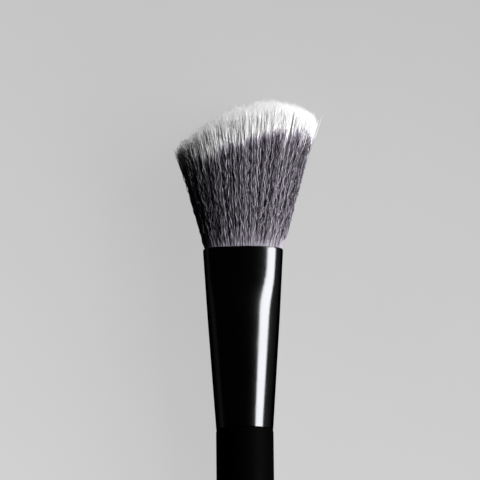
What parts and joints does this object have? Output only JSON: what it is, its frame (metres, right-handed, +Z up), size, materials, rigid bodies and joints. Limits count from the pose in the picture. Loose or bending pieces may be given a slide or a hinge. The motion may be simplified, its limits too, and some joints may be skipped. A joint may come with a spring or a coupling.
{
  "type": "foundation brush",
  "caption": "Angled brush for face make-up: slim matte handle, pressed oval ferrule and a fanned, slanting head of dark bristles with white tips.",
  "frame": {"origin": "on the table, below the centre of the brush's bounding box; the brush lies on its back", "axes": "+Y runs from the tail of the handle to the bristle tips, +X across the wide side of the head towards its high corner, +Z up from the table"},
  "size_m": [0.0298, 0.1748, 0.0178],
  "materials": {
    "handle_lacquer": "matte",
    "ferrule_lacquer": "gloss",
    "dark_bristle": "satin",
    "white_bristle": "satin",
    "thread": "matte",
    "glue": "gloss"
  },
  "bodies": {
    "root": {"handle": "handle_lacquer", "ferrule": "ferrule_lacquer", "bristle_shafts": "dark_bristle", "bristle_tips": "white_bristle", "root_binding": "thread", "root_glue": "glue", "tenon_glue": "glue"}
  },
  "joints": []
}
